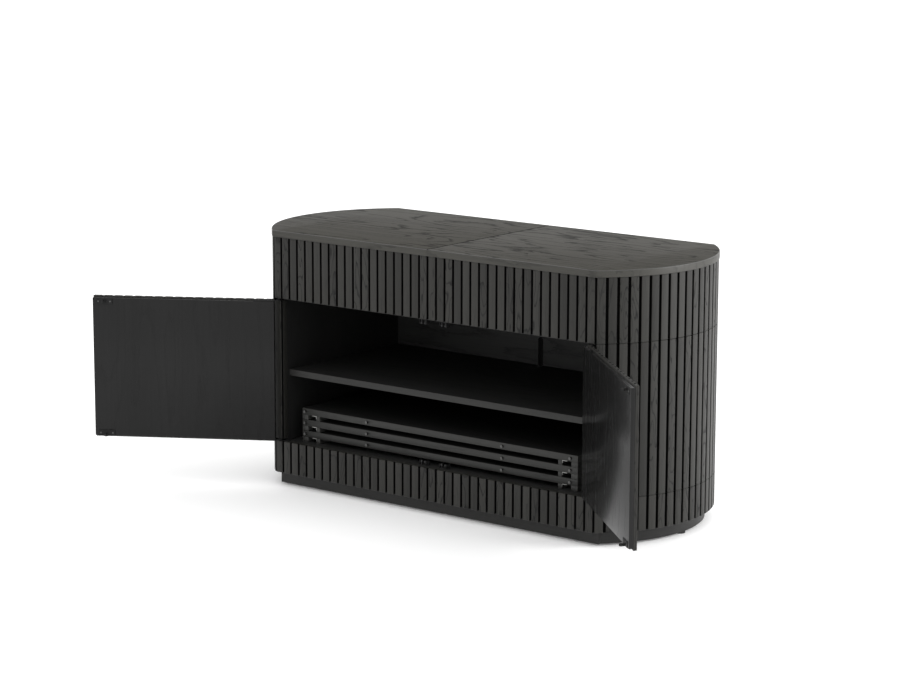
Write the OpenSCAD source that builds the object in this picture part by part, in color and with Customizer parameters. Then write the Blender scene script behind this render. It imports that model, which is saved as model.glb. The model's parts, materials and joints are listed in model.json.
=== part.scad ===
// Media cabinet: obround plan, fluted all round, two flush doors on knife hinges,
// one shelf, and three loose table leaves stacked on the floor panel.
// Origin on the floor under the middle of the cabinet, front towards -Y, +Z up.

/* [Overall size] */
// Length from end to end
body_w = 1400; // [1380:5:1440]
// Depth from front slats to back slats
body_d = 576; // [566:2:620]
// Height of the top surface
body_h = 760; // [750:5:820]
// Thickness of the top slab
slab_t = 19; // [16:1:22]
// How far the slab overhangs the slats
slab_over = 2; // [0:0.5:4]

/* [Slats] */
// Slats across the straight front, both stiles included
front_slats = 38; // [38:1:38]
// Distance from slat to slat on the front
slat_pitch = 30; // [30:0.5:30]
// Width of a slat
slat_w = 23; // [21:0.5:24]
// How far a slat stands out from its board
slat_d = 7; // [6:0.5:7]
// Slats round each curved end
end_slats = 21; // [19:1:22]

/* [Levels] */
// Underside of the lowest slats
skirt_z = 42; // [40:1:46]
// Top of the lower band, which is the bottom of the door opening
sill_z = 136.5; // [132:0.5:140]
// Underside of the upper band, which is the top of the door opening
lintel_z = 561.5; // [558:0.5:566]
// How far the plinth stands back from the slats
plinth_inset = 26; // [20:1:34]
// Height of the glides under the plinth
glide_h = 6; // [5:1:10]

/* [Doors] */
// How far the left door stands open
left_open = 149; // [0:0.5:165]
// How far the right door stands open
right_open = 138; // [0:0.5:165]
// Thickness of a door without its slats
door_board_t = 15; // [14:0.5:15]
// Gap round a door
door_gap = 1.5; // [1:0.25:2]

/* [Inside] */
// Top of the shelf
shelf_z = 348; // [300:1:420]
// Thickness of the shelf
shelf_t = 18; // [16:1:20]
// Width of the cable slot
slot_w = 18; // [14:1:30]
// Length of one loose leaf
leaf_len = 988; // [900:2:1000]
// Width of one loose leaf
leaf_wid = 457; // [400:1:480]
// Thickness of a leaf's board
leaf_t = 19; // [18:0.5:20]

/* [Hidden] */
$fn = 48;
eps = 0.01;

board_t = 16.5;                                  // board behind the slats of a band
front_y = -body_d / 2;                           // face of the front slats
half_w = front_slats * slat_pitch / 2;           // kink between front and end
rise = body_w / 2 - half_w;                      // how far an end bows out
arc_r = (rise * rise + body_d * body_d / 4) / (2 * rise);
arc_x = body_w / 2 - arc_r;                      // centre of an end's arc
arc_a = asin(body_d / 2 / arc_r);                // half angle of an end's arc
slab_z = body_h - slab_t;
ledge_y = front_y + slat_d + board_t;            // back face of the front boards
wall_x = half_w - slat_pitch + 1;                // inner face of a side panel
wall_t = 18;
back_t = 16;
back_y = -ledge_y - back_t;                      // inner face of the back panel
panel_t = 18;
floor_z = sill_z;                                // top of the floor panel
ceiling_z = lintel_z - 5.5;                      // underside of the ceiling panel

// hinge: a knife hinge whose pin stands in front of the fixed stile
pivot_x = half_w - 19;
pivot_y = front_y + 1.5;
pin_r = 2;
pin_bore_r = 2.05;
hinge_t = 2.5;
pivot_t = 1.2;                                   // fixed plate that carries a pin
pin_h = 6;
lug_r = 5;
stile_edge = half_w - slat_pitch + 1;            // edge of a stile next to its door
rebate = 6;                                      // a door's board is this much shorter than its slats
door_edge = stile_edge - 2.25;                   // hinge edge of a door's board
door_free = 1.25;                                // free edge, next to the other door
slat_top = lintel_z - door_gap;
slat_bot = sill_z + door_gap;
board_top = slat_top - rebate + 1;
board_bot = slat_bot + rebate - 1;
skin_t = 3;                                      // thin panel that carries a door's slats
skin_y = front_y + slat_d + skin_t;
inner_y = front_y + slat_d + door_board_t;       // inner face of a closed door
door_slats = front_slats / 2 - 1;

// catches: two rollers hold the neck of a folded spear
catch_x = 36;
roller_r = 3;
roller_h = 6;
neck_half = 3;
roller_dx = neck_half + roller_r + 0.4;
roller_travel = 2.2;
catch_wall_x = roller_dx + roller_r + roller_travel + 0.4;   // inner face of a catch's side
roller_y = inner_y + 6;
spear_h = 6;
catch_t = 1.2;                                   // base plate of a catch
strike_t = 1.2;
strike_w = 49;
strike_h = 16;
spear_z = [board_bot + spear_h / 2, slat_top - 15];   // bottom and top spear
base_z = [floor_z, ceiling_z];

// leaves
leaf_x = -6;
leaf_y = front_y + 42;
leaf_pitch = 33.3;
rail_h = leaf_pitch - leaf_t;
rail_out_w = 22;
rail_gap = 31;
rail_in_w = 13;

glide_r = 14;
glide_x = [-520, 0, 520];
end_glide_x = body_w / 2 - plinth_inset - glide_r + 2;
glide_front_y = front_y + plinth_inset + 34;
stem_r = 4;
end_stem = 20;                                   // depth of an end glide's stem in the plinth

STAIN = [0.13, 0.13, 0.12];
INSIDE = [0.09, 0.09, 0.085];
STEEL = [0.55, 0.55, 0.53];
DARK_STEEL = [0.07, 0.07, 0.07];
NYLON = [0.06, 0.06, 0.06];

// ---- plan shapes -------------------------------------------------------

// a box given by its corners
module block(x0, x1, y0, y1, z0, z1) {
    translate([x0, y0, z0]) cube([x1 - x0, y1 - y0, z1 - z0]);
}

// the right-hand circular segment beyond the kink, taken in by inset
module end_segment(inset) {
    intersection() {
        translate([arc_x, 0]) circle(r = arc_r - inset, $fn = 180);
        translate([half_w, -body_d]) square([body_w, 2 * body_d]);
    }
}

// half of the obround plan (x > 0), taken in by inset, out by a negative inset
module half_plan(inset) {
    translate([0, front_y + inset]) square([half_w, body_d - 2 * inset]);
    intersection() {
        translate([arc_x, 0]) circle(r = arc_r - inset, $fn = 180);
        translate([half_w - eps, front_y + inset]) square([body_w, body_d - 2 * inset]);
    }
}

// board and slats of one curved end
module end_band(z0, z1) {
    translate([0, 0, z0]) linear_extrude(z1 - z0) {
        difference() {
            end_segment(slat_d);
            end_segment(slat_d + board_t);
        }
        intersection() {
            for (i = [0 : end_slats - 1])
                translate([arc_x, 0]) rotate(arc_a * ((2 * i + 1) / end_slats - 1))
                    translate([arc_r - slat_d - 0.4, -slat_w / 2]) square([slat_d + 0.4, slat_w]);
            translate([half_w, -body_d]) square([body_w, 2 * body_d]);
        }
    }
}

// slats on a straight front, one for each index
module front_row(first, last, z0, z1) {
    for (i = [first : last]) {
        x = (i + 0.5) * slat_pitch;
        block(x - slat_w / 2, x + slat_w / 2, front_y, front_y + slat_d, z0, z1);
    }
}

module on_left() { mirror([1, 0, 0]) children(); }
module on_back() { rotate(180) children(); }

// ---- top and carcass ----------------------------------------------------

module top_half() {
    color(STAIN) difference() {
        translate([0, 0, slab_z]) linear_extrude(slab_t) half_plan(-slab_over);
        block(-1, 0.25, -body_d, body_d, slab_z - 1, body_h + 1);
    }
}
module top_slab_left() { on_left() top_half(); }
module top_slab_right() { top_half(); }

module sub_top_panel() {
    color(INSIDE) block(-wall_x, wall_x, ledge_y, back_y, slab_z - panel_t, slab_z);
}

module ceiling_panel() {
    color(INSIDE) block(-wall_x, wall_x, ledge_y, back_y, ceiling_z, ceiling_z + panel_t);
}

module floor_panel() {
    color(INSIDE) block(-wall_x, wall_x, ledge_y, back_y, floor_z - panel_t, floor_z);
}

module base_panel() {
    color(INSIDE) block(-wall_x, wall_x, ledge_y, back_y, skirt_z, skirt_z + panel_t);
}

module side_panel() {
    color(INSIDE) difference() {
        block(wall_x, wall_x + wall_t, ledge_y, back_y, skirt_z, slab_z);
        for (y = shelf_pin_y) shelf_pin_hole(y);
    }
}
module side_panel_left() { on_left() side_panel(); }
module side_panel_right() { side_panel(); }

module back_panel() {
    color(INSIDE) difference() {
        block(-wall_x - wall_t, wall_x + wall_t, back_y, back_y + back_t, skirt_z, slab_z);
        cable_slot();
    }
}

// upright slot with round ends, at the middle of the back just above the shelf
slot_low = shelf_z - 4;
slot_high = shelf_z + 84;
module cable_slot() {
    y0 = back_y - 1;
    y1 = body_d / 2 + 1;
    block(-slot_w / 2, slot_w / 2, y0, y1, slot_low + slot_w / 2, slot_high - slot_w / 2);
    for (z = [slot_low + slot_w / 2, slot_high - slot_w / 2])
        translate([0, y1, z]) rotate([90, 0, 0]) cylinder(r = slot_w / 2, h = y1 - y0);
}

// ---- cladding -----------------------------------------------------------

module front_band(z0, z1) {
    color(STAIN) {
        block(-half_w, half_w, front_y + slat_d, ledge_y, z0, z1);
        front_row(-front_slats / 2, front_slats / 2 - 1, z0, z1);
    }
}
module front_upper_band() { front_band(lintel_z, slab_z); }
module front_lower_band() { front_band(skirt_z, sill_z); }

// the fixed slat between a door and the kink
module stile() {
    z0 = board_bot + 1;
    z1 = board_top - 1;
    color(STAIN) {
        block(stile_edge, half_w, front_y + slat_d, ledge_y, z0, z1);
        front_row(front_slats / 2 - 1, front_slats / 2 - 1, z0, z1);
    }
}
module stile_left() { on_left() stile(); }
module stile_right() { stile(); }

module end_upper_band_left() { on_left() end_upper_band_right(); }
module end_upper_band_right() { color(STAIN) end_band(lintel_z, slab_z); }
module end_middle_band_left() { on_left() end_middle_band_right(); }
module end_middle_band_right() { color(STAIN) end_band(sill_z + 0.6, lintel_z - 0.6); }
module end_lower_band_left() { on_left() end_lower_band_right(); }
module end_lower_band_right() { color(STAIN) end_band(skirt_z, sill_z); }

module back_cladding() {
    color(STAIN) difference() {
        on_back() {
            block(-half_w, half_w, front_y + slat_d, ledge_y, skirt_z, slab_z);
            front_row(-front_slats / 2, front_slats / 2 - 1, skirt_z, slab_z);
        }
        cable_slot();
    }
}

// half-moon boards that hold the curved cladding, one at each seam
module end_formers() {
    levels = [skirt_z, sill_z - panel_t / 2, lintel_z - panel_t / 2, slab_z - panel_t];
    color(INSIDE) for (z = levels)
        translate([0, 0, z]) linear_extrude(panel_t) {
            end_segment(slat_d + board_t);
            translate([wall_x + wall_t, ledge_y])
                square([half_w - wall_x - wall_t + eps, 2 * abs(ledge_y)]);
        }
}
module end_formers_left() { on_left() end_formers(); }
module end_formers_right() { end_formers(); }

// ---- plinth -------------------------------------------------------------

plinth_t = 18;
module plinth_front() {
    y = front_y + plinth_inset;
    color(STAIN) block(-half_w, half_w, y, y + plinth_t, glide_h, skirt_z);
}
module plinth_back() { on_back() plinth_front(); }
module plinth_end() {
    color(STAIN) difference() {
        translate([0, 0, glide_h]) linear_extrude(skirt_z - glide_h) difference() {
            end_segment(plinth_inset);
            end_segment(plinth_inset + plinth_t);
        }
        translate([end_glide_x, 0, 0]) cylinder(r = stem_r, h = glide_h + end_stem);
    }
}
module plinth_end_left() { on_left() plinth_end(); }
module plinth_end_right() { plinth_end(); }

// glides: a pad and a stem that screws up into the base panel
module levelling_glides() {
    color(NYLON) {
        for (x = glide_x, y = [-1, 1]) glide(x, y * abs(glide_front_y), skirt_z);
        for (x = [-1, 1]) glide(x * end_glide_x, 0, glide_h + end_stem);
        glide(0, 0, skirt_z);
    }
}
module glide(x, y, h) {
    translate([x, y, 0]) {
        cylinder(r = glide_r, h = glide_h - 1);
        cylinder(r = stem_r, h = h);
    }
}

// ---- shelf --------------------------------------------------------------

shelf_front_y = front_y + 32;
shelf_pin_y = [shelf_front_y + 60, back_y - 60];
shelf_pin_r = 2.5;
module shelf() {
    x = wall_x - 1;
    color(INSIDE) difference() {
        block(-x, x, shelf_front_y, back_y - 1, shelf_z - shelf_t, shelf_z);
        block(-slot_w / 2 - 3, slot_w / 2 + 3, back_y - 26, back_y, shelf_z - shelf_t - 1, shelf_z + 1);
    }
}
module shelf_pin_hole(y) {
    translate([wall_x - eps, y, shelf_z - shelf_t - shelf_pin_r]) rotate([0, 90, 0])
        cylinder(r = shelf_pin_r, h = 10);
}
module shelf_pins() {
    color(STEEL) for (s = [0, 1]) mirror([s, 0, 0]) for (y = shelf_pin_y)
        translate([wall_x - 10, y, shelf_z - shelf_t - shelf_pin_r]) rotate([0, 90, 0])
            cylinder(r = shelf_pin_r, h = 20 - eps);
}

// ---- doors (drawn shut on the right-hand side, then swung open) ----------

module swung(side) {
    angle = side > 0 ? right_open : left_open;
    mirror([side > 0 ? 0 : 1, 0, 0]) translate([pivot_x, pivot_y, 0]) rotate(angle)
        translate([-pivot_x, -pivot_y, 0]) children();
}

module door_board() {
    color(INSIDE) block(door_free, door_edge, skin_y, inner_y, board_bot, board_top);
}
module door_board_left() { swung(-1) door_board(); }
module door_board_right() { swung(1) door_board(); }

module door_slats() {
    color(STAIN) {
        front_row(0, door_slats - 1, slat_bot, slat_top);
        block(door_free, door_edge, front_y + slat_d, skin_y, slat_bot, slat_top);
    }
}
module door_slats_left() { swung(-1) door_slats(); }
module door_slats_right() { swung(1) door_slats(); }

// strap on the top and bottom edge of the door's board, with the eye on its outer end
module door_hinge_leaf(z) {
    color(DARK_STEEL) translate([0, 0, z]) difference() {
        union() {
            linear_extrude(hinge_t) polygon([
                [door_edge - 60, skin_y + 0.3], [door_edge - 60, inner_y - 2],
                [door_edge - 4, inner_y - 2], [pivot_x + 2, pivot_y + lug_r - 0.5],
                [pivot_x - 2, pivot_y - lug_r + 0.5], [door_edge + 0.3, skin_y + 0.3]]);
            translate([pivot_x, pivot_y, 0]) cylinder(r = lug_r, h = hinge_t);
        }
        translate([pivot_x, pivot_y, -1]) cylinder(r = pin_bore_r, h = hinge_t + 2);
    }
}
module door_hinge_leaves() {
    door_hinge_leaf(board_top);
    door_hinge_leaf(board_bot - hinge_t);
}
module door_hinge_leaves_left() { swung(-1) door_hinge_leaves(); }
module door_hinge_leaves_right() { swung(1) door_hinge_leaves(); }

// plate with a spear of folded sheet, hollow behind its point
module strike(z_plate, z_spear) {
    y = inner_y;
    difference() {
        block(catch_x - strike_w / 2, catch_x + strike_w / 2, y, y + strike_t,
              z_plate - strike_h / 2, z_plate + strike_h / 2);
        for (s = [-1, 1]) translate([catch_x + s * 18, y + 5, z_plate]) rotate([90, 0, 0])
            cylinder(r = 1.6, h = 10);
    }
    translate([catch_x, y + strike_t, z_spear - spear_h / 2]) linear_extrude(spear_h) difference() {
        polygon([[-neck_half, 0], [-neck_half, 7], [-5.5, 10], [0, 16], [5.5, 10], [neck_half, 7],
                 [neck_half, 0]]);
        polygon([[-1.8, 1], [-1.8, 7.4], [-3.6, 9.8], [0, 13.8], [3.6, 9.8], [1.8, 7.4], [1.8, 1]]);
    }
}
module door_strikes() {
    color(DARK_STEEL) {
        strike(board_bot + strike_h / 2, spear_z[0]);
        strike(board_top - strike_h / 2 - 3, spear_z[1]);
    }
}
module door_strikes_left() { swung(-1) door_strikes(); }
module door_strikes_right() { swung(1) door_strikes(); }

// fixed plates with the pins, under the upper band and on the lower band
module hinge_pivots() {
    color(DARK_STEEL) for (top = [0, 1]) {
        z = top ? lintel_z : sill_z;
        translate([0, 0, top ? z - pivot_t : z]) {
            block(pivot_x - 24, pivot_x + 12, front_y + slat_d + 1, ledge_y - 1, 0, pivot_t);
            block(pivot_x - lug_r, pivot_x + lug_r, pivot_y, front_y + slat_d + 2, 0, pivot_t);
            translate([pivot_x, pivot_y, 0]) cylinder(r = lug_r, h = pivot_t);
        }
        translate([pivot_x, pivot_y, top ? z - pin_h : z]) cylinder(r = pin_r, h = pin_h);
    }
}
module hinge_pivots_left() { on_left() hinge_pivots(); }
module hinge_pivots_right() { hinge_pivots(); }

// ---- catches ------------------------------------------------------------

// base plate with a back stop and a bridge over the rollers
module catch_base(top) {
    z = base_z[top];
    into = top ? -1 : 1;
    translate([0, 0, z]) mirror([0, 0, top]) {
        w = catch_wall_x + 1.2;
        block(catch_x - w, catch_x + w, inner_y + 2, inner_y + 18.5, 0, catch_t);
        for (s = [-1, 1])
            block(catch_x + s * (w - 0.6) - 0.6, catch_x + s * (w - 0.6) + 0.6,
                  inner_y + 3, inner_y + 18.5, 0, abs(spear_z[top] - z) + roller_h / 2);
    }
}
module catch_bases() {
    color(DARK_STEEL) for (s = [0, 1]) mirror([s, 0, 0]) {
        catch_base(0);
        catch_base(1);
    }
}

// one roller, on its side of the spear's neck
module roller(side, top, which) {
    z = spear_z[top];
    foot = abs(base_z[top] - z) - catch_t - 0.3;
    color(NYLON) mirror([side > 0 ? 0 : 1, 0, 0])
        translate([catch_x + which * roller_dx, roller_y, z]) mirror([0, 0, top]) {
            translate([0, 0, -roller_h / 2]) cylinder(r = roller_r, h = roller_h);
            translate([0, 0, -foot]) cylinder(r = 1.2, h = foot);
        }
}
module roller_bottom_left_a() { roller(-1, 0, 1); }
module roller_bottom_left_b() { roller(-1, 0, -1); }
module roller_bottom_right_a() { roller(1, 0, 1); }
module roller_bottom_right_b() { roller(1, 0, -1); }
module roller_top_left_a() { roller(-1, 1, 1); }
module roller_top_left_b() { roller(-1, 1, -1); }
module roller_top_right_a() { roller(1, 1, 1); }
module roller_top_right_b() { roller(1, 1, -1); }

// ---- loose leaves, counted from the bottom --------------------------------

function leaf_base(n) = floor_z + 0.2 + (n - 1) * leaf_pitch;

module leaf_board(n) {
    z = leaf_base(n) + rail_h - 0.3;
    color(STAIN) difference() {
        block(leaf_x - leaf_len / 2, leaf_x + leaf_len / 2, leaf_y, leaf_y + leaf_wid, z, z + leaf_t);
        for (x = leaf_pin_x) translate([leaf_x + x, leaf_y + 20, z + leaf_t / 2]) rotate([90, 0, 0])
            cylinder(r = leaf_pin_r, h = 21);
    }
}
module leaf_rails(n) {
    z = leaf_base(n);
    color(STAIN) for (s = [0, 1]) translate([leaf_x, 0, 0]) mirror([s, 0, 0]) {
        x = leaf_len / 2;
        for (r = [[x - rail_out_w, x], [x - rail_out_w - rail_gap - rail_in_w, x - rail_out_w - rail_gap]])
            block(r[0], r[1], leaf_y, leaf_y + leaf_wid, z, z + rail_h - 0.3);
    }
}
// keeper plate under each end of the board, beside the inner rail
module leaf_clips(n) {
    z = leaf_base(n) + rail_h - 0.3;
    color(STEEL) for (s = [0, 1]) translate([leaf_x, 0, 0]) mirror([s, 0, 0]) {
        x = leaf_len / 2 - rail_out_w - rail_gap;
        block(x, x + 16, leaf_y + 1, leaf_y + 40, z - 1.5, z);
        block(x, x + 1.5, leaf_y + 1, leaf_y + 40, z - 8, z - 1.5 + eps);
    }
}
leaf_pin_x = [-leaf_len / 2 + 12, -leaf_len / 2 + 246, leaf_len / 2 - 256, leaf_len / 2 - 24];
leaf_pin_r = 4;
module leaf_pins(n) {
    z = leaf_base(n) + rail_h - 0.3 + leaf_t / 2;
    color(STEEL) for (x = leaf_pin_x) translate([leaf_x + x, leaf_y + 20, z]) rotate([90, 0, 0])
        cylinder(r = leaf_pin_r, h = 26);
}
module leaf_board_1() { leaf_board(1); }
module leaf_board_2() { leaf_board(2); }
module leaf_board_3() { leaf_board(3); }
module leaf_rails_1() { leaf_rails(1); }
module leaf_rails_2() { leaf_rails(2); }
module leaf_rails_3() { leaf_rails(3); }
module leaf_clips_1() { leaf_clips(1); }
module leaf_clips_2() { leaf_clips(2); }
module leaf_clips_3() { leaf_clips(3); }
module leaf_pins_1() { leaf_pins(1); }
module leaf_pins_2() { leaf_pins(2); }
module leaf_pins_3() { leaf_pins(3); }

top_slab_left();
top_slab_right();
sub_top_panel();
ceiling_panel();
floor_panel();
base_panel();
side_panel_left();
side_panel_right();
back_panel();
front_upper_band();
front_lower_band();
stile_left();
stile_right();
end_upper_band_left();
end_upper_band_right();
end_middle_band_left();
end_middle_band_right();
end_lower_band_left();
end_lower_band_right();
back_cladding();
end_formers_left();
end_formers_right();
plinth_front();
plinth_back();
plinth_end_left();
plinth_end_right();
levelling_glides();
shelf();
shelf_pins();
door_board_left();
door_board_right();
door_slats_left();
door_slats_right();
door_hinge_leaves_left();
door_hinge_leaves_right();
door_strikes_left();
door_strikes_right();
hinge_pivots_left();
hinge_pivots_right();
catch_bases();
roller_bottom_left_a();
roller_bottom_left_b();
roller_bottom_right_a();
roller_bottom_right_b();
roller_top_left_a();
roller_top_left_b();
roller_top_right_a();
roller_top_right_b();
leaf_board_1();
leaf_board_2();
leaf_board_3();
leaf_rails_1();
leaf_rails_2();
leaf_rails_3();
leaf_clips_1();
leaf_clips_2();
leaf_clips_3();
leaf_pins_1();
leaf_pins_2();
leaf_pins_3();
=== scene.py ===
"""Looks of the media cabinet: black-stained fluted oak, bevelled boards, steel hardware.

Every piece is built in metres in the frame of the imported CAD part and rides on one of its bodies.
"""
import json
import math
import random

import bmesh
import bpy
from mathutils import Matrix, Vector


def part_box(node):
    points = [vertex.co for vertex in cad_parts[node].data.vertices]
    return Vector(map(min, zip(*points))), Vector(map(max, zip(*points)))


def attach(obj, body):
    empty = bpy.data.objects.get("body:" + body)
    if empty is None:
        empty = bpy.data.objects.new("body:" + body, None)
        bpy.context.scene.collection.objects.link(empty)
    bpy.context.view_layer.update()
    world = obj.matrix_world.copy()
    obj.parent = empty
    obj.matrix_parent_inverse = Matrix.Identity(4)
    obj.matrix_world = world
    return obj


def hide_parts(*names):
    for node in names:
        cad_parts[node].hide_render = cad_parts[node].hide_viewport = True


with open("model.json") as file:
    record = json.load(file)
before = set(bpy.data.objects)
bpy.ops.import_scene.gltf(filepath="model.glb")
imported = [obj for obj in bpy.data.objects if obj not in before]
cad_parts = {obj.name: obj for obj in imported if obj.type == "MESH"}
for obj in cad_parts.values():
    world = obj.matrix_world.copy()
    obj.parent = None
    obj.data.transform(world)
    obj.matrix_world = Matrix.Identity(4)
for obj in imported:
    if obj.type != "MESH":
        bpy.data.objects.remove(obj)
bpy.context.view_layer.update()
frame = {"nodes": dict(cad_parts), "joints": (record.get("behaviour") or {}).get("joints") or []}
nodes = frame["nodes"]
joints = {joint["name"]: joint for joint in frame["joints"]}
draw = random.Random(41)

# sizes that the visual pieces share with the CAD part, in metres
HALF_W = 0.570            # kink between the straight front and a curved end
HALF_D = 0.288            # face of the front slats
BULGE = 0.130             # how far an end bows out
ARC_R = (BULGE ** 2 + HALF_D ** 2) / (2 * BULGE)
ARC_X = HALF_W + BULGE - ARC_R      # centre of an end's arc
ARC_A = math.asin(HALF_D / ARC_R)   # half the angle of the arc
TOP_Z = 0.760
SLAB_Z = 0.741            # underside of the top
SLAB_OVER = 0.002         # how far the top stands past the slats
PITCH = 0.030             # from slat to slat
SLAT_W = 0.023
SLAT_D = 0.007
BOARD_T = 0.0165          # board behind the slats
FRONT_SLATS = 38
FIRST, LAST = -FRONT_SLATS // 2, FRONT_SLATS // 2 - 1   # slats of the front, counted from its middle
END_SLATS = 21
SKIRT_Z = 0.042           # bottom of the cladding
SILL_Z = 0.1365           # top of the lower band
LINTEL_Z = 0.5615         # bottom of the upper band
DOOR_GAP = 0.0015         # from a door's slats to the bands
DOOR_FREE = 0.00125       # free edge of a closed door, from the middle of the front
DOOR_HINGED = 0.53875     # hinge edge
DOOR_T = 0.015
DOOR_Z = (0.143, 0.555)   # bottom and top of a door board
SKIN_T = 0.003            # panel that carries a door's slats
CATCH_X = 0.036           # middle of a door's catches
STRIKE_T = 0.0012
HINGE_LEAF_T = 0.0025

# radii of eased edges
BOARD_EASE = 0.0006
SLAT_EASE = 0.0013
DOOR_EASE = 0.0009
SKIN_EASE = 0.0005
LEAF_EASE = 0.0010
POST_EASE = 0.0008

SIDES = ((-1, "left"), (1, "right"))


# ---- meshes -------------------------------------------------------------------

def ring(mesh, outline, z):
    """One closed loop of vertices at height z."""
    return [mesh.verts.new((x, y, z)) for x, y in outline]


def skin(mesh, rings, value=0.0, paint=None):
    """Faces between successive loops, with a cap at each end. value is kept on every vertex.

    paint lists the material numbers of the faces between vertices i and i + 1."""
    layer = mesh.verts.layers.float["slat"]
    for loop in rings:
        for vertex in loop:
            vertex[layer] = value
    count = len(rings[0])
    for low, high in zip(rings, rings[1:]):
        for i in range(count):
            j = (i + 1) % count
            face = mesh.faces.new((low[i], low[j], high[j], high[i]))
            face.material_index = paint[i] if paint else 0
    mesh.faces.new(list(reversed(rings[0])))
    mesh.faces.new(rings[-1])


def empty_mesh():
    """A mesh whose vertices keep a number that tells one board or slat from the next."""
    mesh = bmesh.new()
    mesh.verts.layers.float.new("slat")
    return mesh


def rounded_box(mesh, x0, x1, y0, y1, z0, z1, r, value):
    """A box with its edges eased by r."""
    def outline(inset, corner):
        points = []
        for sx, sy, turn in ((1, 1, 0), (-1, 1, 90), (-1, -1, 180), (1, -1, 270)):
            cx = (x1 - inset - corner) if sx > 0 else (x0 + inset + corner)
            cy = (y1 - inset - corner) if sy > 0 else (y0 + inset + corner)
            for step in (0, 45, 90):
                a = math.radians(turn + step)
                points.append((cx + corner * math.cos(a), cy + corner * math.sin(a)))
        return points

    rings = []
    for z, inset in ((z0, r), (z0 + 0.3 * r, 0.3 * r), (z0 + r, 0),
                     (z1 - r, 0), (z1 - 0.3 * r, 0.3 * r), (z1, r)):
        rings.append(ring(mesh, outline(inset, r - 0.6 * inset), z))
    skin(mesh, rings, value)


def paint_front_shade(mesh):
    """Material 1, black paint that stands in for the shade between the slats, on the flat front of a board.
    """
    middle = sum(vertex.co.y for vertex in mesh.verts) / len(mesh.verts)
    for face in mesh.faces:
        face.normal_update()
        if abs(face.normal.y) > 0.999 and face.calc_center_median().y < middle:
            face.material_index = 1


def paint_by_slope(mesh, level, sloping, upright):
    """Material numbers by how steep a face is."""
    for face in mesh.faces:
        face.normal_update()
        rise = abs(face.normal.z)
        face.material_index = level if rise > 0.97 else upright if rise < 0.2 else sloping


def plate(mesh, outline, y0, y1, value):
    """A flat piece whose edges are painted black as the shade in the grooves, given by its outline seen from
    the front, from y0 to y1.
    """
    layer = mesh.verts.layers.float["slat"]
    loops = [[mesh.verts.new((x, y, z)) for x, z in outline] for y in (y0, y1)]
    for loop in loops:
        for vertex in loop:
            vertex[layer] = value
        mesh.faces.new(loop)
    for i in range(len(outline)):
        j = (i + 1) % len(outline)
        mesh.faces.new((loops[0][i], loops[0][j], loops[1][j], loops[1][i])).material_index = 1


def slat(mesh, cx, cy, angle, z0, z1, value, bare=0):
    """An upright slat. (cx, cy) is the middle of its back and angle the way it faces.

    Its back and sides are painted black as the shade in the grooves. Where bare is 1 or -1, the side that
    way along its width is not."""
    r = SLAT_EASE
    end = 0.0010              # how far a slat's ends are eased
    half = SLAT_W / 2
    out = Vector((math.cos(angle), math.sin(angle)))
    across = Vector((-out.y, out.x))
    corner = [(math.cos(math.radians(a)), math.sin(math.radians(a))) for a in (0, 22.5, 45, 67.5, 90)]

    def outline(inset):
        points = [(-half + inset, 0)]
        points += [(-half + r - (r - inset) * c, SLAT_D - r + (r - inset) * s) for c, s in corner]
        points += [(half - r + (r - inset) * c, SLAT_D - r + (r - inset) * s) for c, s in reversed(corner)]
        points += [(half - inset, 0)]
        points.reverse()
        return [(cx + across.x * u + out.x * v, cy + across.y * u + out.y * v) for u, v in points]

    last = len(outline(0)) - 1
    # back and sides get material 1, black painted shade
    black = {last} | {number for way, number in ((1, 0), (-1, last - 1)) if way != bare}
    paint = [int(i in black) for i in range(last + 1)]
    skin(mesh, [ring(mesh, outline(inset), z) for z, inset in
                ((z0, end), (z0 + end, 0), (z1 - end, 0), (z1, end))], value, paint)


def finish_piece(name, mesh, body, materials, replaced=(), place=None):
    """Makes the piece. materials are in the order of the faces' numbers.

    place carries a piece that was drawn with its door closed to where it rests."""
    if place is not None:
        mesh.transform(place)
    bmesh.ops.recalc_face_normals(mesh, faces=mesh.faces)
    data = bpy.data.meshes.new(name)
    mesh.to_mesh(data)
    mesh.free()
    data.shade_smooth()
    data.set_sharp_from_angle(angle=math.radians(28))
    piece = bpy.data.objects.new(name, data)
    bpy.context.scene.collection.objects.link(piece)
    for each in materials:
        data.materials.append(each)
    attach(piece, body)
    if replaced:
        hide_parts(*replaced)


# ---- materials ------------------------------------------------------------------

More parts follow.
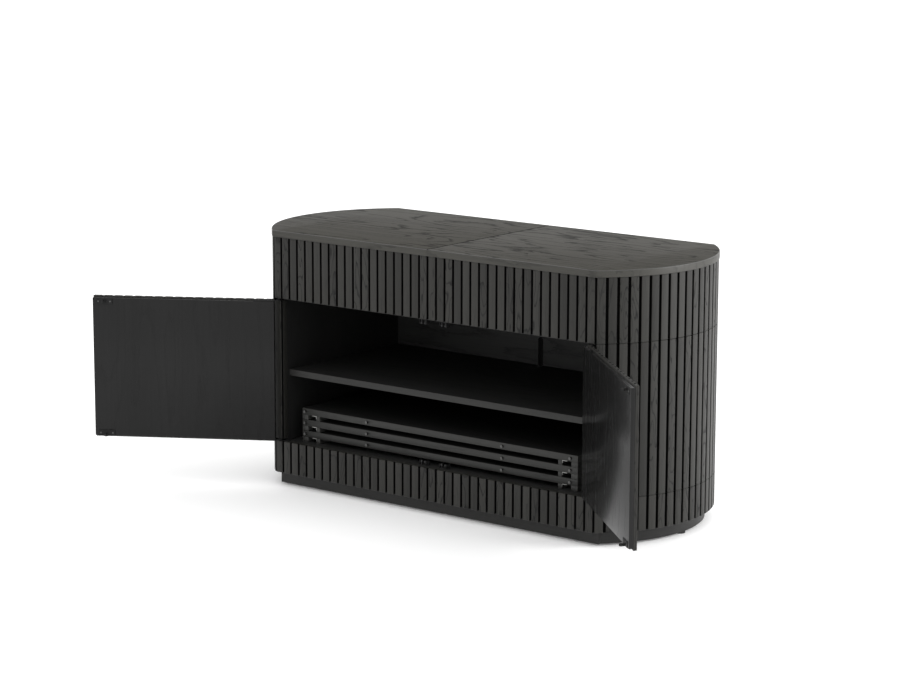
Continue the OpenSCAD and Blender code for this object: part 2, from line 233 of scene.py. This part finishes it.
class Graph:
    """A new material, with short forms for making and joining its shader nodes."""

    def __init__(self, name):
        self.material = bpy.data.materials.new(name)
        self.material.use_nodes = True
        self.tree = self.material.node_tree
        self.shader = self.tree.nodes["Principled BSDF"]
        self.place = self.tree.nodes.new("ShaderNodeTexCoord").outputs["Object"]

    def node(self, kind, **settings):
        made = self.tree.nodes.new("ShaderNode" + kind)
        for key, value in settings.items():
            setattr(made, key, value)
        return made

    def join(self, source, target):
        self.tree.links.new(source, target)

    def math(self, operation, a, b=None, clamp=False):
        """a and b are numbers or sockets."""
        made = self.node("Math", operation=operation, use_clamp=clamp)
        for socket, value in zip(made.inputs, (a, b)):
            if value is None:
                continue
            if isinstance(value, (int, float)):
                socket.default_value = value
            else:
                self.join(value, socket)
        return made.outputs[0]

    def noise(self, vector, scale, detail=2.0, roughness=0.5, distortion=0.0):
        """Noise with its own scale along each axis."""
        mapping = self.node("Mapping")
        mapping.inputs["Scale"].default_value = scale
        self.join(vector, mapping.inputs["Vector"])
        made = self.node("TexNoise")
        made.inputs["Scale"].default_value = 1.0
        made.inputs["Detail"].default_value = detail
        made.inputs["Roughness"].default_value = roughness
        made.inputs["Distortion"].default_value = distortion
        self.join(mapping.outputs[0], made.inputs["Vector"])
        return made.outputs["Fac"]

    def span(self, value, low, high, to_low=0.0, to_high=1.0):
        """Carries low to to_low and high to to_high, and stops there."""
        made = self.node("MapRange")
        for socket, number in zip(list(made.inputs)[1:5], (low, high, to_low, to_high)):
            socket.default_value = number
        self.join(value, made.inputs[0])
        return made.outputs[0]

    def mix(self, factor, a, b):
        """A colour between a and b, which are colours or sockets."""
        made = self.node("Mix", data_type="RGBA")
        self.join(factor, made.inputs[0])
        for socket, value in zip((made.inputs[6], made.inputs[7]), (a, b)):
            if isinstance(value, tuple):
                socket.default_value = (*value, 1)
            else:
                self.join(value, socket)
        return made.outputs[2]

    def bump(self, height, strength, distance):
        made = self.node("Bump")
        made.inputs["Strength"].default_value = strength
        made.inputs["Distance"].default_value = distance
        self.join(height, made.inputs["Height"])
        self.join(made.outputs[0], self.shader.inputs["Normal"])


def along(axis, across, length):
    """Noise scale with the grain along one axis."""
    return tuple(length if i == axis else across for i in range(3))


def shades_of(colour, low, high):
    """A colour made darker by low and lighter by high."""
    return tuple(low * c for c in colour), tuple(high * c for c in colour)


def wood(name, axis, colour, roughness=0.5, figure=9.0, rings=15.0, specular=0.4, line=0.5, stretch=0.12,
         plain=0.0):
    """Black-stained oak: cathedral figure, open pores and a slow change of tone.

    The grain runs along axis. figure is the figure's scale across the grain, stretch how slowly it changes
    along the grain, rings how many lines it has and line how dark they are. plain takes figure away from
    that share of the pieces."""
    g = Graph(name)
    piece = g.node("Attribute", attribute_type="GEOMETRY", attribute_name="slat").outputs["Fac"]
    # each board or slat shows another stretch of the figure
    spread = g.node("CombineXYZ")
    for socket, size in zip(spread.inputs, (3.7, 5.3, 11.9)):
        g.join(g.math("MULTIPLY", piece, size), socket)
    moved = g.node("VectorMath", operation="ADD")
    g.join(g.place, moved.inputs[0])
    g.join(spread.outputs[0], moved.inputs[1])
    where = moved.outputs[0]
    wave = g.noise(where, along(axis, figure, figure * stretch), 1.5, 0.4, 0.25)
    wobble = g.noise(where, along(axis, 130, 26), 2.0, 0.6)
    count = g.math("ADD", g.math("MULTIPLY", wave, rings), g.math("MULTIPLY", wobble, 0.5))
    early = g.span(g.math("FRACT", count), 0.0, 0.26, 1.0, 0.0)
    strong = g.span(g.math("FRACT", g.math("MULTIPLY", piece, 7.31)), plain - 0.05, plain + 0.2, 0.12, 1.0)
    pores = g.span(g.noise(where, along(axis, 820, 24), 2.0, 0.55), 0.52, 0.66)
    fibre = g.noise(where, along(axis, 260, 5), 3.0, 0.6)
    tone = g.noise(g.place, along(axis, 5, 1.2), 2.0)
    depth = g.math("MULTIPLY", pores, g.span(early, 0.0, 1.0, 0.35, 1.0))
    lines = g.math("MULTIPLY", early, g.math("MULTIPLY", strong, line))
    shade = g.math("ADD", lines, g.math("MULTIPLY", depth, 0.42), clamp=True)
    slow = g.math("ADD", g.math("MULTIPLY", tone, 0.5), g.math("MULTIPLY", fibre, 0.5))
    lift = g.math("ADD", slow, g.math("MULTIPLY", g.math("SUBTRACT", piece, 0.5), 0.45))
    ground = g.mix(g.span(lift, 0.25, 0.8), *shades_of(colour, 0.72, 1.25))
    g.join(g.mix(shade, ground, BLACK), g.shader.inputs["Base Color"])
    g.join(g.span(shade, 0.0, 1.0, roughness - 0.05, roughness + 0.16), g.shader.inputs["Roughness"])
    g.shader.inputs["Specular IOR Level"].default_value = specular
    relief = g.math("ADD", g.math("MULTIPLY", shade, -0.8), g.math("MULTIPLY", fibre, 0.25))
    g.bump(relief, 0.5, 0.0005)
    return g.material


def steel(name, colour, roughness, metallic=1.0, specular=0.5):
    """Metal with fine rolling marks."""
    g = Graph(name)
    marks = g.noise(g.place, (900, 900, 60), 3.0, 0.6)
    cloud = g.noise(g.place, (60, 60, 60), 2.0)
    g.join(g.mix(g.span(cloud, 0.3, 0.7), *shades_of(colour, 0.8, 1.15)), g.shader.inputs["Base Color"])
    g.shader.inputs["Metallic"].default_value = metallic
    g.shader.inputs["Specular IOR Level"].default_value = specular
    g.join(g.span(marks, 0.3, 0.7, roughness - 0.06, roughness + 0.06), g.shader.inputs["Roughness"])
    g.bump(marks, 0.12, 0.0001)
    return g.material


def plastic(name, colour):
    """Plastic with a fine moulded grain."""
    g = Graph(name)
    grain = g.noise(g.place, (1500, 1500, 1500), 2.0)
    g.join(g.mix(grain, *shades_of(colour, 0.8, 1.2)), g.shader.inputs["Base Color"])
    g.join(g.span(grain, 0.3, 0.7, 0.5, 0.62), g.shader.inputs["Roughness"])
    g.bump(grain, 0.2, 0.0001)
    return g.material


def painted_groove_shade():
    """Flat black, painted shade for the grooves between the slats, the cable slot's walls and the top's
    seam.
    """
    g = Graph("groove_painted_shade")
    # a faint mottle in the painted shade
    shade_mottle = g.noise(g.place, (300, 300, 40), 2.0)
    g.join(g.mix(shade_mottle, (0.0010, 0.0010, 0.0010), (0.0024, 0.0024, 0.0023)), g.shader.inputs["Base Color"])
    g.join(g.span(shade_mottle, 0.3, 0.7, 0.8, 0.95), g.shader.inputs["Roughness"])
    g.shader.inputs["Specular IOR Level"].default_value = 0.04
    g.bump(shade_mottle, 0.2, 0.0002)
    return g.material


X_AXIS, Z_AXIS = 0, 2
BLACK = (0.003, 0.003, 0.003)
oak = wood("oak_upright", Z_AXIS, (0.0222, 0.0217, 0.0195), figure=32.0, rings=9.0, specular=0.22,
           line=1.0, stretch=0.2, plain=0.4)
oak_top = wood("oak_top", X_AXIS, (0.0255, 0.0232, 0.0165), roughness=0.57, specular=0.06,
               line=0.8, stretch=0.14)
# lighter copies of the top's oak: the edge carries painted light, the bevel a painted highlight line
slab_edge_painted_light = wood("oak_slab_edge", X_AXIS, (0.038, 0.0365, 0.031), figure=8.0, rings=9.0, specular=0.3,
                 line=0.3)
slab_bevel_painted_highlight = wood("oak_slab_bevel", X_AXIS, (0.036, 0.035, 0.031), roughness=0.42, figure=8.0, rings=9.0,
                  line=0.2)
oak_end = wood("oak_plinth", X_AXIS, (0.020, 0.0198, 0.0188), figure=11.0, specular=0.25)
door_face = wood("veneer_door", Z_AXIS, (0.0105, 0.0105, 0.0104), roughness=0.25, rings=9.0, specular=0.2,
                 line=0.3)
inside = wood("veneer_inside", X_AXIS, (0.026, 0.026, 0.0255), figure=6.0, rings=12.0, specular=0.25)
inside_up = wood("veneer_upright", Z_AXIS, (0.0155, 0.0155, 0.0153), figure=6.0, rings=12.0, specular=0.2)
# painted shade: a darker copy of the leaf's oak for its level faces
leaf_flat_painted_shade = wood("oak_leaf_face_painted_shade", X_AXIS, (0.0105, 0.0105, 0.0102), roughness=0.7, figure=8.0, rings=12.0,
                 specular=0.03)
shelf_flat = wood("veneer_shelf", X_AXIS, (0.0225, 0.0225, 0.022), roughness=0.75, figure=8.0, rings=12.0,
                  specular=0.02)
# painted light: a lighter copy of the leaf's oak for the edges of the leaves and the shelf and for the rail
# posts
leaf_edge_painted_light = wood("oak_leaf_edge", X_AXIS, (0.024, 0.024, 0.0225), figure=8.0, rings=6.0, specular=0.28,
                 line=0.2)
# black paint that stands in for the shade in the grooves, the cable slot and the top's seam
groove = painted_groove_shade()
bright_steel = steel("satin_steel", (0.30, 0.30, 0.29), 0.34)
dim_steel = steel("dim_steel", (0.10, 0.10, 0.098), 0.42)
black_steel = steel("black_steel", (0.018, 0.018, 0.018), 0.6, metallic=0.3, specular=0.12)
black_plastic = plastic("black_plastic", (0.012, 0.012, 0.012))


# ---- cladding -------------------------------------------------------------------

def board_arc(mesh, side, z0, z1, inner, outer):
    """The curved board behind an end's slats, from kink to kink."""
    steps = 40
    points = []
    for radius, order in ((outer, 1), (inner, -1)):
        limit = math.acos((HALF_W - ARC_X) / radius)
        for i in range(steps + 1):
            a = order * (-limit + 2 * limit * i / steps)
            points.append((side * (ARC_X + radius * math.cos(a)), radius * math.sin(a)))
    # the board's outer face, seen between the slats, gets material 1: black painted shade
    paint = [int(i < steps) for i in range(len(points))]
    skin(mesh, [ring(mesh, points, z0), ring(mesh, points, z1)], draw.random(), paint)


def end_band(name, side, z0, z1, shades):
    """One level of a curved end's cladding."""
    mesh = empty_mesh()
    radius = ARC_R - SLAT_D
    board_arc(mesh, side, z0, z1, radius - BOARD_T, radius)
    for i in range(END_SLATS):
        a = ARC_A * ((2 * i + 1) / END_SLATS - 1)
        facing = a if side > 0 else math.pi - a
        slat(mesh, side * ARC_X + radius * math.cos(facing), radius * math.sin(facing),
             facing, z0, z1, shades[i])
    finish_piece(name + "_slatted", mesh, "carcass", [oak, groove], [name])


def front_band(name, first, last, z0, z1, shades, board=(-HALF_W, HALF_W)):
    """Slats number first to last of the front, on a board that reaches from one x to another."""
    face = -(HALF_D - SLAT_D)
    mesh = empty_mesh()
    rounded_box(mesh, *board, face, face + BOARD_T, z0, z1, BOARD_EASE, draw.random())
    # black painted shade on the board's front, between the slats
    paint_front_shade(mesh)
    for i in range(first, last + 1):
        slat(mesh, (i + 0.5) * PITCH, face, -math.pi / 2, z0, z1, shades[i - FIRST])
    finish_piece(name + "_slatted", mesh, "carcass", [oak, groove], [name])


SLOT_R = 0.009
SLOT_Z = (0.353, 0.423)   # centres of the cable slot's round ends


def slot_side(side, reach=0.0):
    """One side of the cable slot from its lowest to its highest point, or from x = reach on."""
    steps = 12
    first = math.asin(reach / SLOT_R)
    turns = [first + (math.pi / 2 - first) * i / steps for i in range(steps + 1)]
    low = [(side * SLOT_R * math.sin(a), SLOT_Z[0] - SLOT_R * math.cos(a)) for a in turns]
    high = [(side * SLOT_R * math.sin(a), SLOT_Z[1] + SLOT_R * math.cos(a)) for a in reversed(turns)]
    return low + high


def slotted_board(mesh, half_w, y0, y1, z0, z1, paint):
    """An upright board round the cable slot. The slot's walls are painted black as the shade inside the
    slot.
    """
    layer = mesh.verts.layers.float["slat"]
    slots = {side: slot_side(side) for side in (-1, 1)}
    rims = {side: [(0, z0), (side * half_w, z0), (side * half_w, z1), (0, z1)] for side in (-1, 1)}
    front, back = {}, {}
    for y, made in ((y0, front), (y1, back)):
        for side in (-1, 1):
            for spot in slots[side] + rims[side]:
                # the two halves share the vertices at x = 0
                if spot not in made:
                    made[spot] = mesh.verts.new((spot[0], y, spot[1]))
                    made[spot][layer] = 0.5
    for side in (-1, 1):
        outline = rims[side] + list(reversed(slots[side]))
        for made in (front, back):
            mesh.faces.new([made[spot] for spot in outline]).material_index = paint
        for edge, number in ((rims[side], paint), (slots[side], 1)):
            for a, b in zip(edge, edge[1:]):
                mesh.faces.new((front[a], front[b], back[b], back[a])).material_index = number


def back_pieces(shades):
    """The back cladding and the back panel, both with the cable slot through them."""
    z0, z1 = SKIRT_Z, SLAB_Z
    face = HALF_D - SLAT_D
    mesh = empty_mesh()
    # the whole board behind the back slats is material 1, black painted shade
    slotted_board(mesh, HALF_W, face - BOARD_T, face, z0, z1, 1)
    for i in range(FIRST, LAST + 1):
        x = (i + 0.5) * PITCH
        shade = shades[i - FIRST]
        if abs(x) > PITCH:
            slat(mesh, x, face, math.pi / 2, z0, z1, shade)
            continue
        # the two slats beside the slot are cut round it
        side = 1 if x > 0 else -1
        near, far = abs(x) - SLAT_W / 2, abs(x) + SLAT_W / 2
        outline = [(side * near, z0), (side * far, z0), (side * far, z1), (side * near, z1)]
        plate(mesh, outline + list(reversed(slot_side(side, near))), face, face + SLAT_D, shade)
    finish_piece("back_cladding_slatted", mesh, "carcass", [oak, groove], ["back_cladding"])
    mesh = empty_mesh()
    low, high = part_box("back_panel")
    # the panel's slot walls get black painted shade
    slotted_board(mesh, high.x, low.y, high.y, low.z, high.z, 0)
    finish_piece("back_panel_slotted", mesh, "carcass", [inside, groove], ["back_panel"])


front_shades = [draw.random() for _ in range(FRONT_SLATS)]
front_band("front_upper_band", FIRST, LAST, LINTEL_Z, SLAB_Z, front_shades)
front_band("front_lower_band", FIRST, LAST, SKIRT_Z, SILL_Z, [1 - s for s in front_shades])
back_pieces([draw.random() for _ in range(FRONT_SLATS)])
SEAM = 0.0006             # gap between the levels of an end
STILE_GAP = 0.001         # gap round a fixed stile
for side, word in SIDES:
    for level, z0, z1 in (("upper", LINTEL_Z, SLAB_Z), ("middle", SILL_Z + SEAM, LINTEL_Z - SEAM),
                          ("lower", SKIRT_Z, SILL_Z)):
        end_band(f"end_{level}_band_{word}", side, z0, z1, [draw.random() for _ in range(END_SLATS)])
    number = LAST if side > 0 else FIRST
    board = sorted((side * (HALF_W - PITCH + STILE_GAP), side * HALF_W))
    z0, z1 = DOOR_Z
    front_band(f"stile_{word}", number, number, z0 + STILE_GAP, z1 - STILE_GAP, front_shades, board)


# ---- top ------------------------------------------------------------------------

SLAB_R = 0.0022           # eased upper edge of the slab
SLAB_FOOT = 0.0006        # eased lower edge
SLAB_SEAM = 0.0002        # half the gap between the two slab halves
BEND = 0.02               # a straight edge ends this far before the kink


def slab_outline(side, inset):
    """Half of the top's plan, anticlockwise, taken in by inset."""
    deep = HALF_D + SLAB_OVER - inset
    radius = ARC_R + SLAB_OVER - inset
    limit = math.asin(deep / radius)
    steps = 56
    points = [(SLAB_SEAM + inset, -deep), (HALF_W - BEND, -deep)]
    points += [(ARC_X + radius * math.cos(a), radius * math.sin(a))
               for a in (-limit + 2 * limit * i / steps for i in range(steps + 1))]
    points += [(HALF_W - BEND, deep), (SLAB_SEAM + inset, deep)]
    if side < 0:
        points = [(-x, y) for x, y in reversed(points)]
    return points


def top_slab(side, word):
    """Half of the top, with black painted shade on the edge that meets the other half, and painted light on
    its upright edge and bevel.
    """
    mesh = empty_mesh()
    rings = []
    for z, inset in ((SLAB_Z, SLAB_FOOT), (SLAB_Z + SLAB_FOOT, 0), (TOP_Z - SLAB_R, 0),
                     (TOP_Z - 0.5 * SLAB_R, 0.13 * SLAB_R), (TOP_Z - 0.13 * SLAB_R, 0.5 * SLAB_R),
                     (TOP_Z, SLAB_R)):
        rings.append(ring(mesh, slab_outline(side, inset), z))
    skin(mesh, rings, 0.5 + 0.02 * side)
    # the upright edge and the sloping bevel take the lighter copies: painted light and a painted highlight
    paint_by_slope(mesh, 0, 2, 1)
    # faces at the seam get material 3, black painted shade
    for face in mesh.faces:
        if face.material_index and abs(face.calc_center_median().x) < 2 * SLAB_R:
            face.material_index = 3
    finish_piece(f"top_slab_{word}_eased", mesh, "carcass",
                 [oak_top, slab_edge_painted_light, slab_bevel_painted_highlight, groove], [f"top_slab_{word}"])


for side, word in SIDES:
    top_slab(side, word)


# ---- doors ----------------------------------------------------------------------

def swing(joint):
    """Carries a closed door to the angle at which it rests."""
    to_pivot = Matrix.Translation(Vector(joint["pos_m"]))
    turn = Matrix.Rotation(math.radians(-joint["range_deg"][0]), 4, Vector(joint["axis"]))
    return to_pivot @ turn @ to_pivot.inverted()


def cross_radius(angle, arm, half):
    """Distance from the middle of a screw's cross slot to its edge.

    arm is the length of each of its arms and half is half an arm's width."""
    c, s = abs(math.cos(angle)), abs(math.sin(angle))
    big, small = max(c, s), min(c, s)
    if small / big <= half / arm:
        return arm / big
    return half / small


def screws(name, body, spots, facing, radius, place):
    """Round-headed screws with cross slots. Each spot is the middle of a head's underside."""
    mesh = empty_mesh()
    sides = 32
    across = facing.orthogonal().normalized()
    other = facing.cross(across)
    # size as a share of the head or of its cross, height in radii, and whether the ring follows the cross
    profile = ((1.0, 0.0, False), (1.0, 0.22, False), (0.86, 0.42, False), (0.6, 0.52, False),
               (1.0, 0.54, True), (0.8, 0.15, True))
    for spot in spots:
        rings = []
        for share, height, crossed in profile:
            middle = Vector(spot) + facing * (height * radius)
            loop = []
            for i in range(sides):
                a = 2 * math.pi * (i + 0.5) / sides
                reach = share * radius
                if crossed:
                    reach = share * cross_radius(a, 0.5 * radius, 0.13 * radius)
                offset = across * (reach * math.cos(a)) + other * (reach * math.sin(a))
                loop.append(mesh.verts.new(middle + offset))
            rings.append(loop)
        skin(mesh, rings)
    finish_piece(name, mesh, body, [dim_steel], place=place)


STRIKE_SCREW_R = 0.0027
STRIKE_SCREW_X = 0.018            # from the middle of the strike
STRIKE_SCREW_Z = (0.008, 0.011)   # from the door's bottom and top
HINGE_SCREW_R = 0.0022
HINGE_SCREW_X = (0.018, 0.045)    # from the hinge edge
HINGE_SCREW_Y = 0.008             # from the back of the slats


def door(side, word):
    """Board, slats and screws, drawn closed and carried to where the door stands open."""
    place = swing(joints[f"door_{word}_hinge"])
    body = f"door_{word}"
    x0, x1 = sorted((side * DOOR_FREE, side * DOOR_HINGED))
    y0 = -HALF_D + SLAT_D
    z0, z1 = DOOR_Z
    board = empty_mesh()
    rounded_box(board, x0, x1, y0 + SKIN_T, y0 + DOOR_T, z0, z1, DOOR_EASE, 0.2 if side < 0 else 0.7)
    finish_piece(f"door_board_{word}_veneered", board, body, [door_face],
                 [f"door_board_{word}"], place)
    slats = empty_mesh()
    low, high = SILL_Z + DOOR_GAP, LINTEL_Z - DOOR_GAP
    rounded_box(slats, x0, x1, y0, y0 + SKIN_T, low, high, SKIN_EASE, 0.5)
    # black painted shade on the skin's front, between the slats
    paint_front_shade(slats)
    for i in range(FRONT_SLATS // 2 - 1):
        number = i if side > 0 else -1 - i
        slat(slats, side * (i + 0.5) * PITCH, y0, -math.pi / 2, low, high, front_shades[number - FIRST],
             bare=-side if i == 0 else 0)
    finish_piece(f"door_slats_{word}_eased", slats, body, [oak, groove],
                 [f"door_slats_{word}"], place)
    below, above = STRIKE_SCREW_Z
    spots = [(side * (CATCH_X + s * STRIKE_SCREW_X), y0 + DOOR_T + STRIKE_T, z)
             for s in (-1, 1) for z in (z0 + below, z1 - above)]
    screws(f"strike_screws_{word}", body, spots, Vector((0, 1, 0)), STRIKE_SCREW_R, place)
    for level, z, up in (("top", z1 + HINGE_LEAF_T, 1), ("bottom", z0 - HINGE_LEAF_T, -1)):
        spots = [(side * (DOOR_HINGED - reach), y0 + HINGE_SCREW_Y, z) for reach in HINGE_SCREW_X]
        screws(f"hinge_screws_{word}_{level}", body, spots, Vector((0, 0, up)), HINGE_SCREW_R, place)


for side, word in SIDES:
    door(side, word)


# ---- stored leaves ----------------------------------------------------------------

POSTS = ((0.022, 0.0), (0.066, 0.053))   # a rail's two posts, from its outer end


def loose_leaf(number):
    """A leaf's board, and the posts of its end rails."""
    low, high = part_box(f"leaf_board_{number}")
    mesh = empty_mesh()
    rounded_box(mesh, low.x, high.x, low.y, high.y, low.z, high.z, LEAF_EASE, 0.23 * number)
    # level faces get the darker copy, painted shade; the other faces the lighter copy, painted light
    paint_by_slope(mesh, 1, 0, 0)
    finish_piece(f"leaf_board_{number}_eased", mesh, f"leaf_{number}",
                 [leaf_edge_painted_light, leaf_flat_painted_shade], [f"leaf_board_{number}"])
    low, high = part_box(f"leaf_rails_{number}")
    mesh = empty_mesh()
    middle = (low.x + high.x) / 2
    reach = (high.x - low.x) / 2
    for side in (-1, 1):
        for near, far in POSTS:
            x0, x1 = sorted((middle + side * (reach - near), middle + side * (reach - far)))
            rounded_box(mesh, x0, x1, low.y, high.y, low.z, high.z, POST_EASE, draw.random())
    # the posts take the lighter copy of the leaf's oak, painted light
    finish_piece(f"leaf_rails_{number}_eased", mesh, f"leaf_{number}", [leaf_edge_painted_light],
                 [f"leaf_rails_{number}"])


for number in (1, 2, 3):
    loose_leaf(number)


# ---- catch rollers ----------------------------------------------------------------

def turned(mesh, x, y, profile):
    """A turned piece. profile gives radius, height and the material number below each ring."""
    sides = 28
    loops = []
    layer = mesh.verts.layers.float["slat"]
    for radius, z, _ in profile:
        loop = []
        for i in range(sides):
            a = 2 * math.pi * i / sides
            vertex = mesh.verts.new((x + radius * math.cos(a), y + radius * math.sin(a), z))
            vertex[layer] = 0.5
            loop.append(vertex)
        loops.append(loop)
    for (low, high), step in zip(zip(loops, loops[1:]), profile[1:]):
        for i in range(sides):
            j = (i + 1) % sides
            mesh.faces.new((low[i], low[j], high[j], high[i])).material_index = step[2]
    mesh.faces.new(list(reversed(loops[0]))).material_index = profile[0][2]
    mesh.faces.new(loops[-1]).material_index = profile[-1][2]


SPINDLE_R = 0.0012
CORE_R = 0.0022           # level ends of the tyre
SHOULDER_R = 0.0026
TYRE_R = 0.0030
TYRE_H = 0.006
BEVEL = 0.0006            # each of the two steps from a level end to the tyre's full radius
HEAD_R = 0.0016
HEAD_EASE = 0.0002


def roller(name):
    """A black tyre on its spindle, with the spindle's steel head at the free end."""
    low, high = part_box(name)
    x, y = (low.x + high.x) / 2, (low.y + high.y) / 2
    foot, end, sign = (low.z, high.z, 1) if "bottom" in name else (high.z, low.z, -1)

    def at(depth):
        """The height this far below the free end."""
        return end - sign * depth

    profile = [(SPINDLE_R, foot, 0), (SPINDLE_R, at(TYRE_H), 0), (CORE_R, at(TYRE_H), 0),
               (CORE_R, at(TYRE_H - BEVEL), 0), (SHOULDER_R, at(TYRE_H - BEVEL), 0),
               (TYRE_R, at(TYRE_H - 2 * BEVEL), 0), (TYRE_R, at(2 * BEVEL), 0), (SHOULDER_R, at(BEVEL), 0),
               (CORE_R, at(BEVEL), 1), (CORE_R, at(HEAD_EASE), 1), (HEAD_R, end, 1)]
    mesh = empty_mesh()
    turned(mesh, x, y, profile)
    finish_piece(f"{name}_turned", mesh, name, [black_plastic, dim_steel], [name])


for level in ("bottom", "top"):
    for word in ("left", "right"):
        for which in ("a", "b"):
            roller(f"roller_{level}_{word}_{which}")


# ---- CAD nodes that keep their own shape ------------------------------------------

def repaint(prefix, material, level=None):
    """Gives the nodes whose names start so a material, and their level faces another one."""
    for name, piece in nodes.items():
        if name.startswith(prefix) and not piece.hide_render:
            piece.data.materials.clear()
            for each in filter(None, (material, level)):
                piece.data.materials.append(each)
            for face in piece.data.polygons:
                face.material_index = int(level is not None and abs(face.normal.z) > 0.97)


repaint("", inside)
repaint("side_panel", inside_up)
# the shelf's edges take the lighter copy of the leaf's oak, painted light
repaint("shelf", leaf_edge_painted_light, shelf_flat)
repaint("plinth", oak_end)
repaint("shelf_pins", bright_steel)
repaint("hinge_pivots", black_steel)
repaint("door_hinge_leaves", black_steel)
repaint("door_strikes", black_steel)
repaint("catch_bases", black_steel)
repaint("leaf_pins", dim_steel)
repaint("leaf_clips", bright_steel)
repaint("levelling_glides", black_plastic)


# ---- camera, floor and light --------------------------------------------------------

def camera():
    """The camera of the photo, as fitted to the body's edges, its bands and its opening."""
    azimuth, tilt, roll = (math.radians(a) for a in (37.979, 10.884, -0.101))
    data = bpy.data.cameras.new("camera")
    data.sensor_width = 36
    data.lens = 110.85
    data.clip_end = 100
    look = Vector((-math.sin(azimuth) * math.cos(tilt), math.cos(azimuth) * math.cos(tilt), -math.sin(tilt)))
    item = bpy.data.objects.new("camera", data)
    item.location = (4.7174, -6.2279, 1.9702)
    item.rotation_mode = "QUATERNION"
    turn = look.to_track_quat("-Z", "Y")
    item.rotation_quaternion = turn @ Matrix.Rotation(-roll, 3, "Z").to_quaternion()
    bpy.context.scene.collection.objects.link(item)
    bpy.context.scene.camera = item


def floor():
    """A white sheet under and round the cabinet."""
    g = Graph("floor_paper")
    grain = g.noise(g.place, (30, 30, 30), 2.0)
    g.join(g.mix(grain, (0.955, 0.955, 0.955), (0.97, 0.97, 0.97)), g.shader.inputs["Base Color"])
    g.shader.inputs["Roughness"].default_value = 0.9
    g.shader.inputs["Specular IOR Level"].default_value = 0.0
    g.shader.inputs["Emission Color"].default_value = (1, 1, 1, 1)
    g.shader.inputs["Emission Strength"].default_value = 0.12
    data = bpy.data.meshes.new("floor")
    reach = 30
    data.from_pydata([(-reach, -reach, 0), (reach, -reach, 0), (reach, reach, 0), (-reach, reach, 0)],
                     [], [(0, 1, 2, 3)])
    data.materials.append(g.material)
    item = bpy.data.objects.new("floor", data)
    bpy.context.scene.collection.objects.link(item)


def softbox(name, place, aim, size, power):
    """A flat light at place that looks at aim."""
    data = bpy.data.lights.new(name, "AREA")
    data.shape = "RECTANGLE"
    data.size, data.size_y = size
    data.energy = power
    item = bpy.data.objects.new(name, data)
    item.location = place
    item.rotation_mode = "QUATERNION"
    item.rotation_quaternion = (Vector(aim) - Vector(place)).to_track_quat("-Z", "Y")
    bpy.context.scene.collection.objects.link(item)


def studio():
    """Even white surroundings and one large light beside the right end."""
    world = bpy.data.worlds.new("studio")
    world.use_nodes = True
    world.node_tree.nodes["Background"].inputs["Color"].default_value = (1, 1, 1, 1)
    world.node_tree.nodes["Background"].inputs["Strength"].default_value = 1.3
    bpy.context.scene.world = world
    softbox("side", (3.6, 1.6, 1.5), (0.5, 0, 0.35), (2.0, 2.2), 90)
    bpy.context.scene.view_settings.view_transform = "Standard"


camera()
floor()
studio()
